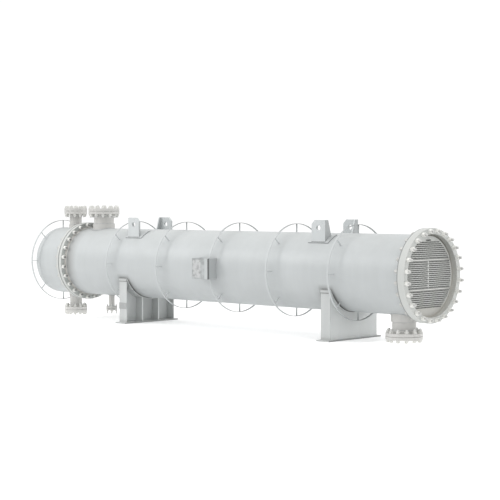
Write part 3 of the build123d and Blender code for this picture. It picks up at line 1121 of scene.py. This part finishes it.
# Cut plates: copies of the CAD plates with their edges rounded
def soften(node_name, width):
    """A copy of a CAD plate, with its triangles merged and its edges rounded, which replaces it."""
    piece = bpy.data.objects.new(node_name + "_plate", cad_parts[node_name].data.copy())
    bpy.context.collection.objects.link(piece)
    activate(piece)
    bpy.ops.mesh.customdata_custom_splitnormals_clear()
    edit_all(piece)
    bpy.ops.mesh.remove_doubles(threshold=0.00001)
    bpy.ops.mesh.dissolve_limited(angle_limit=math.radians(0.4))
    smooth(piece, 30.0)
    rounding = piece.modifiers.new("rounding", "BEVEL")
    rounding.width = width
    rounding.segments = 2
    rounding.limit_method = "ANGLE"
    rounding.angle_limit = math.radians(40.0)
    rounding.use_clamp_overlap = False
    rounding.harden_normals = True
    apply_modifiers(piece)
    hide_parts(node_name)
    finish_piece(piece, node_name + "_plate", finish_of(node_name))


class EXCHANGER_OT_plates(bpy.types.Operator):
    """Rounds the edges of the saddles, the lifting lugs and their pads, and the nameplate"""

    bl_idname = "exchanger.plates"
    bl_label = "Round the plates' edges"

    def execute(self, context):
        width = context.scene.exchanger_detail.edge_round
        for saddle in SADDLES:
            for part in ("base", "web", "ends", "ribs", "wrap"):
                soften(saddle + "_saddle_" + part, width)
        for side in ("front", "back"):
            for station in LUGS:
                soften("lifting_lug_" + side + "_" + station, width)
                soften("lug_pad_" + side + "_" + station, width)
        soften("nameplate_bracket", width)
        soften("nameplate", NAMEPLATE_ROUND)
        soften("earthing_plate", EARTHING_ROUND)
        return {"FINISHED"}


# Studs and nuts
def stand_bar(radius, height):
    """A twelve-sided bar that stands on Z = 0, open in edit mode."""
    deselect()
    bpy.ops.mesh.primitive_cylinder_add(
        vertices=12, radius=radius, depth=height, location=(0, 0, height / 2)
    )
    bar = bpy.context.object
    place_in_mesh(bar)
    bpy.ops.object.mode_set(mode="EDIT")
    return bar


def model_stud(diameter, length):
    """A stud that stands on Z = 0, with its ends chamfered."""
    stud = stand_bar(diameter / 2, length)
    pick(stud, "FACE", lambda face: abs(face.normal.z) > 0.9)
    bpy.ops.mesh.bevel(offset=diameter * STUD_CHAMFER, segments=1, affect="EDGES")
    smooth(stud, 40.0)
    return stud


def model_nut(across_flats, height):
    """A hexagon nut that stands on Z = 0, with its upper corners chamfered."""
    corner = across_flats / math.sqrt(3)
    nut = stand_bar(corner, height)

    def on_flat(point):
        steps = math.degrees(math.atan2(point.co.x, point.co.y)) / 30.0
        return round(steps) % 2 == 1

    pick(nut, "VERT", on_flat)
    flat = math.cos(math.radians(30.0))
    bpy.ops.transform.resize(value=(flat, flat, 1.0), center_override=(0, 0, 0))
    pick(nut, "FACE", lambda face: face.normal.z > 0.9)
    bpy.ops.mesh.inset(thickness=across_flats * NUT_INSET)

    def top_corner(point):
        outermost = math.hypot(point.co.x, point.co.y) > corner * 0.985
        return outermost and point.co.z > height * 0.99 and not on_flat(point)

    pick(nut, "VERT", top_corner)
    bpy.ops.transform.translate(value=(0, 0, -height * NUT_CHAMFER))
    smooth(nut, 25.0)
    return nut


def stud_circle(joint, nut_share):
    """Every stud of a joint with its two nuts, as one piece."""
    low, high = joint["faces"]
    past_low, past_high = joint["past"]
    length = high - low + past_low + past_high
    stud = model_stud(joint["stud"], length)
    nut, far_nut = [model_nut(joint["nut"], joint["stud"] * nut_share) for _ in range(2)]
    finishes = joint.get("finishes", ("stud_steel_upright", "nut_steel", "nut_steel"))
    for shape, finish in zip((stud, nut, far_nut), finishes):
        dress(shape, finish)
    if joint["along"] == "X":
        turn = Matrix.Rotation(math.radians(90), 4, "Y")
    else:
        turn = Matrix.Rotation(math.radians(90 - 90 * joint["side"]), 4, "X")
    base = Matrix.Translation(joint["centre"]) @ turn
    upside_down = Matrix.Rotation(math.pi, 4, "X")
    seeded = random.Random(joint["count"] * 7 + 3)
    placed = []
    for number in range(joint["count"]):
        angle = math.radians(360.0 / joint["count"] * (number + 0.5))
        around = Matrix.Rotation(angle, 4, "Z") @ Matrix.Translation((joint["circle"], 0, 0))
        slack = seeded.uniform(-STUD_SLACK, STUD_SLACK)
        placed.append((stud, base @ around @ Matrix.Translation((0, 0, low - past_low + slack))))
        upper_turn = Matrix.Rotation(seeded.uniform(0, math.pi), 4, "Z")
        lower_turn = Matrix.Rotation(seeded.uniform(0, math.pi), 4, "Z") @ upside_down
        placed.append((nut, base @ around @ Matrix.Translation((0, 0, high)) @ upper_turn))
        placed.append((far_nut, base @ around @ Matrix.Translation((0, 0, low)) @ lower_turn))
    piece = join_copies(placed)
    discard(stud, nut, far_nut)
    return piece


class EXCHANGER_OT_girth_studs(bpy.types.Operator):
    """Bolts the two girth flange joints"""

    bl_idname = "exchanger.girth_studs"
    bl_label = "Add the girth studs"

    def execute(self, context):
        share = context.scene.exchanger_detail.nut_height
        for name, joint in GIRTH_JOINTS.items():
            piece = stud_circle(joint, share * GIRTH_NUT_SHARE)
            finish_piece(piece, name + "_studs", None)
        return {"FINISHED"}


class EXCHANGER_OT_nozzle_studs(bpy.types.Operator):
    """Bolts the blind cover on every nozzle"""

    bl_idname = "exchanger.nozzle_studs"
    bl_label = "Add the nozzle studs"

    def execute(self, context):
        share = context.scene.exchanger_detail.nut_height
        for name, values in NOZZLES.items():
            joint = dict(values, along="Z", centre=(values["x"], 0, AXIS_Z))
            piece = stud_circle(joint, share)
            finish_piece(piece, name + "_studs", None)
        return {"FINISHED"}


# Welds
def on_shell(x, degrees, radius):
    """A point round the vessel: 0 degrees is +Y and 90 degrees is up."""
    angle = math.radians(degrees)
    return (x, radius * math.cos(angle), AXIS_Z + radius * math.sin(angle))


def bead(points, radius, closed):
    """A round weld bead along points. Its path bends in space, so it is drawn as a curve."""
    curve = bpy.data.curves.new("bead", "CURVE")
    curve.dimensions = "3D"
    curve.bevel_depth = radius
    curve.bevel_resolution = 1
    curve.use_fill_caps = not closed
    spline = curve.splines.new("POLY")
    spline.points.add(len(points) - 1)
    for point, place in zip(spline.points, points):
        point.co = (*place, 1.0)
    spline.use_cyclic_u = closed
    piece = bpy.data.objects.new("bead", curve)
    bpy.context.collection.objects.link(piece)
    activate(piece)
    bpy.ops.object.convert(target="MESH")
    return bpy.context.object


def finish_weld(pieces, name, material="weld_paint"):
    """Makes beads one uneven piece."""
    piece = join_pieces(pieces)
    lumps = bpy.data.textures.new(name, "CLOUDS")
    lumps.noise_scale = LUMP_SIZE
    uneven = piece.modifiers.new("uneven", "DISPLACE")
    uneven.texture = lumps
    uneven.texture_coords = "LOCAL"
    uneven.strength = LUMP_HEIGHT
    uneven.mid_level = 0.55
    apply_modifiers(piece)
    smooth(piece, 80.0)
    finish_piece(piece, name, material)


class EXCHANGER_OT_seams(bpy.types.Operator):
    """Welds the head, the barrels and the girth flanges together"""

    bl_idname = "exchanger.seams"
    bl_label = "Weld the vessel's seams"

    def execute(self, context):
        width = context.scene.exchanger_detail.seam_bead
        beads = []
        for x in (HEAD_SEAM, CHANNEL_HUB, SHELL_HUB, REAR_HUB):
            deselect()
            bpy.ops.mesh.primitive_torus_add(
                location=(x, 0, AXIS_Z),
                rotation=(0, math.radians(90), 0),
                major_radius=SHELL_R - width * 0.6,
                minor_radius=width,
                major_segments=300,
                minor_segments=8,
            )
            ring = bpy.context.object
            place_in_mesh(ring)
            beads.append(ring)
        finish_weld(beads, "vessel_seams")
        return {"FINISHED"}


def neck_bead(joint, radius, thickness, reach=None):
    """A bead round an upright neck, at a distance from the axis or where it meets the shell."""
    steps = 64 if reach else 96
    points = []
    for step in range(steps):
        angle = 2 * math.pi * step / steps
        y = radius * math.sin(angle)
        rise = reach or math.sqrt(SHELL_R**2 - y**2)
        place = (joint["x"] + radius * math.cos(angle), y, AXIS_Z + joint["side"] * rise)
        points.append(place)
    return bead(points, thickness, True)


class EXCHANGER_OT_nozzle_welds(bpy.types.Operator):
    """Welds every nozzle to the vessel and to its own flange"""

    bl_idname = "exchanger.nozzle_welds"
    bl_label = "Weld the nozzles"

    def execute(self, context):
        width = context.scene.exchanger_detail.fillet_bead
        for name, joint in NOZZLES.items():
            neck, sleeve_top = joint["neck"], joint["sleeve_top"]
            hub_top = joint["faces"][0] - joint["hub"]
            beads = [neck_bead(joint, joint["sleeve"] + width * 0.5, width * 1.5)]
            if sleeve_top:
                beads.append(neck_bead(joint, neck + width * 0.2, width * 0.9, sleeve_top))
            beads.append(neck_bead(joint, neck - width * 0.35, width * 0.7, hub_top))
            finish_weld(beads, name + "_welds")
        return {"FINISHED"}


class EXCHANGER_OT_saddle_caps(bpy.types.Operator):
    """Sets a narrow cap over the top of each end plate of the saddles"""

    bl_idname = "exchanger.saddle_caps"
    bl_label = "Cap the saddles' end plates"

    def execute(self, context):
        for name, x in SADDLES.items():
            low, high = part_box(name + "_saddle_ends")
            caps = []
            for y in (low.y - CAP_PROUD, high.y + CAP_PROUD):
                middle = (x, y, (CAP_LOW + CAP_HIGH) / 2)
                bpy.ops.mesh.primitive_cube_add(size=1, location=middle)
                cap = bpy.context.object
                place_in_mesh(cap)
                edit_all(cap)
                size = (CAP_HALF_LENGTH * 2, END_PLATE, CAP_HIGH - CAP_LOW)
                bpy.ops.transform.resize(value=size, center_override=middle)
                bpy.ops.mesh.bevel(offset=0.002, segments=2, affect="EDGES")
                bpy.ops.object.mode_set(mode="OBJECT")
                caps.append(cap)
            cap = join_pieces(caps)
            smooth(cap, 40.0)
            finish_piece(cap, name + "_saddle_caps", "cap_paint")
        return {"FINISHED"}


class EXCHANGER_OT_saddle_welds(bpy.types.Operator):
    """Welds the saddles' plates together and to the shell"""

    bl_idname = "exchanger.saddle_welds"
    bl_label = "Weld the saddles"

    def execute(self, context):
        width = context.scene.exchanger_detail.fillet_bead
        for name in SADDLES:
            beads = []
            for part in ("web", "ends", "ribs"):
                low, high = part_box(name + "_saddle_" + part)
                if part == "web":
                    lines = [((x, low.y), (x, high.y)) for x in (low.x, high.x)]
                else:
                    ys = (low.y, low.y + END_PLATE, high.y - END_PLATE, high.y)
                    lines = [((low.x, y), (high.x, y)) for y in ys]
                for start, end in lines:
                    start, end = Vector((*start, BASE_TOP)), Vector((*end, BASE_TOP))
                    steps = [tuple(start.lerp(end, step / 20)) for step in range(21)]
                    beads.append(bead(steps, width * 0.8, False))
            finish_weld(beads, name + "_saddle_welds")
        return {"FINISHED"}


def pad_outline(x, start, sweep):
    """Points round the edge of a pad that is rolled to the shell."""
    angles = [start + sweep * step / 60 for step in range(61)]
    near = [on_shell(x - PAD_HALF_LENGTH, angle, PAD_BEAD_R) for angle in angles]
    far = [on_shell(x + PAD_HALF_LENGTH, angle, PAD_BEAD_R) for angle in reversed(angles)]
    return near + far


class EXCHANGER_OT_lug_welds(bpy.types.Operator):
    """Welds the lifting lugs to their pads and the pads to the shell"""

    bl_idname = "exchanger.lug_welds"
    bl_label = "Weld the lifting lugs"

    def execute(self, context):
        width = context.scene.exchanger_detail.fillet_bead
        for station, x in LUGS.items():
            for side_name, side in (("front", -1), ("back", 1)):
                first, last = PAD_ANGLES
                start = first if side > 0 else 180 - last
                beads = [bead(pad_outline(x, start, last - first), width * 0.8, True)]
                for edge in (-LUG_HALF_THICK, LUG_HALF_THICK):
                    y = side * (LUG_Y + edge)
                    z = AXIS_Z + math.sqrt(PAD_R**2 - y**2)
                    end = x - LUG_HALF_WIDTH
                    run = [(end + LUG_HALF_WIDTH * 2 * step / 24, y, z) for step in range(25)]
                    beads.append(bead(run, width * 0.9, False))
                finish_weld(beads, "lug_welds_" + side_name + "_" + station, "shaded_fillet_paint")
        return {"FINISHED"}


# Tube ends and pass strips
def tube_rows():
    """Each row's height, how far from the centreline it starts, and its half length."""
    middle = range(-MIDDLE_ROWS_BELOW, MIDDLE_ROWS_ABOVE + 1)
    rows = [(row * ROW_RISE, SPLIT_LANE_HALF, TUBE_FIELD_R) for row in middle]
    for row in range(OUTER_ROWS):
        rows.append((TOP_START + row * ROW_RISE, 0.0, TUBE_FIELD_R))
        rows.append((BOTTOM_START - row * ROW_RISE, 0.0, TUBE_FIELD_R))
    rows.append((CROWN_ROW, 0.0, CROWN_HALF_LENGTH))
    return sorted(rows)


def tube_places():
    """The centre of every tube mouth, in Y and in height over the axis."""
    places = []
    steps = math.ceil(TUBE_FIELD_R / TUBE_PITCH)
    for number, (height, clear, half_length) in enumerate(tube_rows()):
        first = TUBE_PITCH / 2 * (number % 2)
        for step in range(-steps, steps + 1):
            y = first + step * TUBE_PITCH
            if math.hypot(y, height) <= TUBE_FIELD_R and clear <= abs(y) <= half_length:
                places.append((y, height))
    return places


def model_tube_end(radius, bore, proud):
    """One tube end that stands out of the sheet, with its lip rounded. It points along +X."""
    deselect()
    bpy.ops.mesh.primitive_circle_add(
        vertices=12,
        radius=radius,
        fill_type="NOTHING",
        rotation=(0, math.radians(90), 0),
        location=(SHEET_FACE - TUBE_END_SUNK, 0, 0),
    )
    end = bpy.context.object
    place_in_mesh(end)
    edit_all(end)
    middle = (radius + bore) / 2
    for run, narrowed in ((0.75, 1), (0.25, middle / radius), (-0.2, bore / middle), (-0.9, 1)):
        bpy.ops.mesh.extrude_edges_move(TRANSFORM_OT_translate={"value": (proud * run, 0, 0)})
        value = (1, narrowed, narrowed)
        bpy.ops.transform.resize(value=value, center_override=(SHEET_FACE, 0, 0))
    bpy.ops.mesh.select_all(action="SELECT")
    bpy.ops.mesh.normals_make_consistent(inside=False)
    smooth(end, 60.0)
    return end


class EXCHANGER_OT_tube_ends(bpy.types.Operator):
    """Sets a tube end in every mouth of the tubesheet"""

    bl_idname = "exchanger.tube_ends"
    bl_label = "Add the tube ends"

    def execute(self, context):
        detail = context.scene.exchanger_detail
        end = model_tube_end(detail.tube_radius, detail.tube_bore, detail.tube_proud)
        placed = [(end, Matrix.Translation((0, y, AXIS_Z + z))) for y, z in tube_places()]
        piece = join_copies(placed)
        discard(end)
        finish_piece(piece, "tube_ends", "tube_end_steel")
        return {"FINISHED"}


class EXCHANGER_OT_pass_strips(bpy.types.Operator):
    """Lays the two bright sealing strips in the pass lanes"""

    bl_idname = "exchanger.pass_strips"
    bl_label = "Add the pass strips"

    def execute(self, context):
        strips = []
        for lane in LANES:
            half = math.sqrt(BORE_R**2 - (abs(lane) + STRIP_WIDTH) ** 2) - STRIP_END_GAP
            deselect()
            bpy.ops.mesh.primitive_cube_add(
                size=1.0,
                location=(SHEET_FACE + 0.002, 0, AXIS_Z + lane),
                scale=(STRIP_THICKNESS, 2 * half, STRIP_WIDTH),
            )
            strip = bpy.context.object
            place_in_mesh(strip)
            bpy.ops.object.mode_set(mode="EDIT")
            pick(strip, "FACE", lambda face: face.normal.x > 0.9)
            bpy.ops.mesh.bevel(offset=0.0015, segments=2, affect="EDGES")
            smooth(strip, 35.0)
            strips.append(strip)
        piece = join_pieces(strips)
        finish_piece(piece, "pass_strips", "pass_strip_steel")
        return {"FINISHED"}


# Nameplate rivets
class EXCHANGER_OT_rivets(bpy.types.Operator):
    """Rivets the blank nameplate to its bracket"""

    bl_idname = "exchanger.rivets"
    bl_label = "Add the rivets"

    def execute(self, context):
        deselect()
        bpy.ops.mesh.primitive_uv_sphere_add(segments=12, ring_count=8, radius=RIVET_R)
        rivet = bpy.context.object
        edit_all(rivet)
        bpy.ops.mesh.bisect(
            plane_co=(0, 0.0005, 0), plane_no=(0, 1, 0), clear_outer=True, use_fill=True
        )
        bpy.ops.mesh.select_all(action="SELECT")
        bpy.ops.transform.resize(value=(1, 0.6, 1), center_override=(0, 0, 0))
        smooth(rivet, 50.0)
        placed = []
        for x in (plate_low.x + RIVET_INSET, plate_high.x - RIVET_INSET):
            for z in (plate_low.z + RIVET_INSET, plate_high.z - RIVET_INSET):
                placed.append((rivet, Matrix.Translation((x, plate_low.y, z))))
        piece = join_copies(placed)
        discard(rivet)
        finish_piece(piece, "nameplate_rivets", "nameplate_steel")
        return {"FINISHED"}


# Studio
def area_light(name, place, size, power):
    """A soft white light that looks at the middle of the vessel."""
    bpy.ops.object.light_add(type="AREA", location=place)
    light = bpy.context.object
    light.name = name
    light.data.shape = "DISK"
    light.data.size = size
    light.data.energy = power
    aim = Vector(VESSEL_MIDDLE) - Vector(place)
    light.rotation_euler = aim.to_track_quat("-Z", "Y").to_euler()


def camera_ray(tree):
    """A mask of what the camera sees straight."""
    return tree.nodes.new("ShaderNodeLightPath").outputs["Is Camera Ray"]


def lay_sky(scene, stage):
    """White surroundings, brighter overhead than at the sides, with a lit backdrop behind."""
    world = bpy.data.worlds.new("studio")
    scene.world = world
    world.use_nodes = True
    tree = world.node_tree
    background = tree.nodes["Background"]
    background.inputs["Color"].default_value = (1, 1, 1, 1)
    towards = tree.nodes.new("ShaderNodeTexCoord").outputs["Generated"]
    parts = axes(towards)
    behind = (-math.sin(stage.camera_yaw), math.cos(stage.camera_yaw), 0)
    inputs = {0: towards, 1: behind}
    sector = add_node("ShaderNodeVectorMath", inputs, operation="DOT_PRODUCT")
    backdrop = larger(ramp(sector.outputs["Value"], 0.88, 0.95), camera_ray(tree))
    strength = product(
        ramp(parts["Z"], 0.1, 0.8, stage.horizon_light, stage.sky_light),
        ramp(parts["X"], -0.2, 0.9, 1.0, stage.right_share),
    )
    extra = product(backdrop, combine("SUBTRACT", stage.backdrop_light, strength))
    feed(background.inputs["Strength"], total(strength, extra))


def lay_floor(stage):
    """A pale floor that glows under the vessel, and more under its two bottom nozzles."""
    deselect()
    bpy.ops.mesh.primitive_plane_add(size=120, location=(0, 0, 0))
    floor = bpy.context.object
    floor.name = "studio_floor"
    shader, place = new_material("studio_floor", specular=0.2)
    parts = axes(place)
    show(shader, blend_colour(noise(place, 0.8), (0.86, 0.86, 0.86), (0.87, 0.87, 0.87)))
    shader.inputs["Roughness"].default_value = 0.9
    shader.inputs["Emission Color"].default_value = (1, 1, 1, 1)
    aside = combine("ABSOLUTE", parts["Y"])
    glow = ramp(aside, 2.2, 0.4, 0.0, stage.floor_light)
    for foot in ("shell_outlet", "channel_bottom"):
        off = larger(away_from(parts["X"], NOZZLES[foot]["x"]), aside)
        glow = larger(glow, ramp(off, 0.50, 0.20, 0.0, stage.foot_light))
    glow = total(glow, product(camera_ray(shader.id_data), stage.shadow_lift))
    feed(shader.inputs["Emission Strength"], glow)
    dress(floor, "studio_floor")


class EXCHANGER_OT_stage(bpy.types.Operator):
    """Sets the pale floor, the soft lights and the camera"""

    bl_idname = "exchanger.stage"
    bl_label = "Set the studio"

    def execute(self, context):
        stage = context.scene.exchanger_stage
        lay_floor(stage)
        lay_sky(context.scene, stage)
        context.scene.view_settings.view_transform = "Standard"
        area_light("top_light", (1.0, -1.5, 7.0), 6.0, stage.top_light)
        area_light("side_light", (-8.2, -9.6, 9.0), 6.0, stage.side_light)
        area_light("back_light", (6.0, 8.5, 2.4), 3.5, stage.back_light)

        bpy.ops.object.camera_add(location=stage.camera_place)
        camera = bpy.context.object
        camera.data.lens = stage.camera_lens
        camera.data.sensor_width = 36.0
        camera.data.clip_end = 200.0
        camera.rotation_euler = (math.radians(90) - stage.camera_pitch, 0, stage.camera_yaw)
        context.scene.camera = camera
        deselect()
        return {"FINISHED"}


OPERATORS = (
    EXCHANGER_OT_paint,
    EXCHANGER_OT_plates,
    EXCHANGER_OT_girth_studs,
    EXCHANGER_OT_nozzle_studs,
    EXCHANGER_OT_seams,
    EXCHANGER_OT_nozzle_welds,
    EXCHANGER_OT_saddle_welds,
    EXCHANGER_OT_saddle_caps,
    EXCHANGER_OT_lug_welds,
    EXCHANGER_OT_tube_ends,
    EXCHANGER_OT_pass_strips,
    EXCHANGER_OT_rivets,
    EXCHANGER_OT_stage,
)


class EXCHANGER_PT_panel(bpy.types.Panel):
    """Lists the settings and the steps that dress the exchanger"""

    bl_idname = "EXCHANGER_PT_panel"
    bl_label = "Heat exchanger"
    bl_space_type = "VIEW_3D"
    bl_region_type = "UI"
    bl_category = "Exchanger"

    def draw(self, context):
        layout = self.layout
        scene = context.scene
        for settings in (scene.exchanger_finish, scene.exchanger_detail, scene.exchanger_stage):
            box = layout.box()
            for name in settings.bl_rna.properties.keys():
                if name not in ("rna_type", "name"):
                    box.prop(settings, name)
        for operator in OPERATORS:
            layout.operator(operator.bl_idname)


CLASSES = (ExchangerFinish, ExchangerDetail, ExchangerStage, *OPERATORS, EXCHANGER_PT_panel)


def register():
    for cls in CLASSES:
        bpy.utils.register_class(cls)
    bpy.types.Scene.exchanger_finish = PointerProperty(type=ExchangerFinish)
    bpy.types.Scene.exchanger_detail = PointerProperty(type=ExchangerDetail)
    bpy.types.Scene.exchanger_stage = PointerProperty(type=ExchangerStage)


def unregister():
    del bpy.types.Scene.exchanger_finish
    del bpy.types.Scene.exchanger_detail
    del bpy.types.Scene.exchanger_stage
    for cls in reversed(CLASSES):
        bpy.utils.unregister_class(cls)


def main():
    register()
    bpy.ops.exchanger.paint()
    bpy.ops.exchanger.plates()
    bpy.ops.exchanger.girth_studs()
    bpy.ops.exchanger.nozzle_studs()
    bpy.ops.exchanger.seams()
    bpy.ops.exchanger.nozzle_welds()
    bpy.ops.exchanger.saddle_welds()
    bpy.ops.exchanger.saddle_caps()
    bpy.ops.exchanger.lug_welds()
    bpy.ops.exchanger.tube_ends()
    bpy.ops.exchanger.pass_strips()
    bpy.ops.exchanger.rivets()
    bpy.ops.exchanger.stage()


if __name__ == "__main__":
    main()
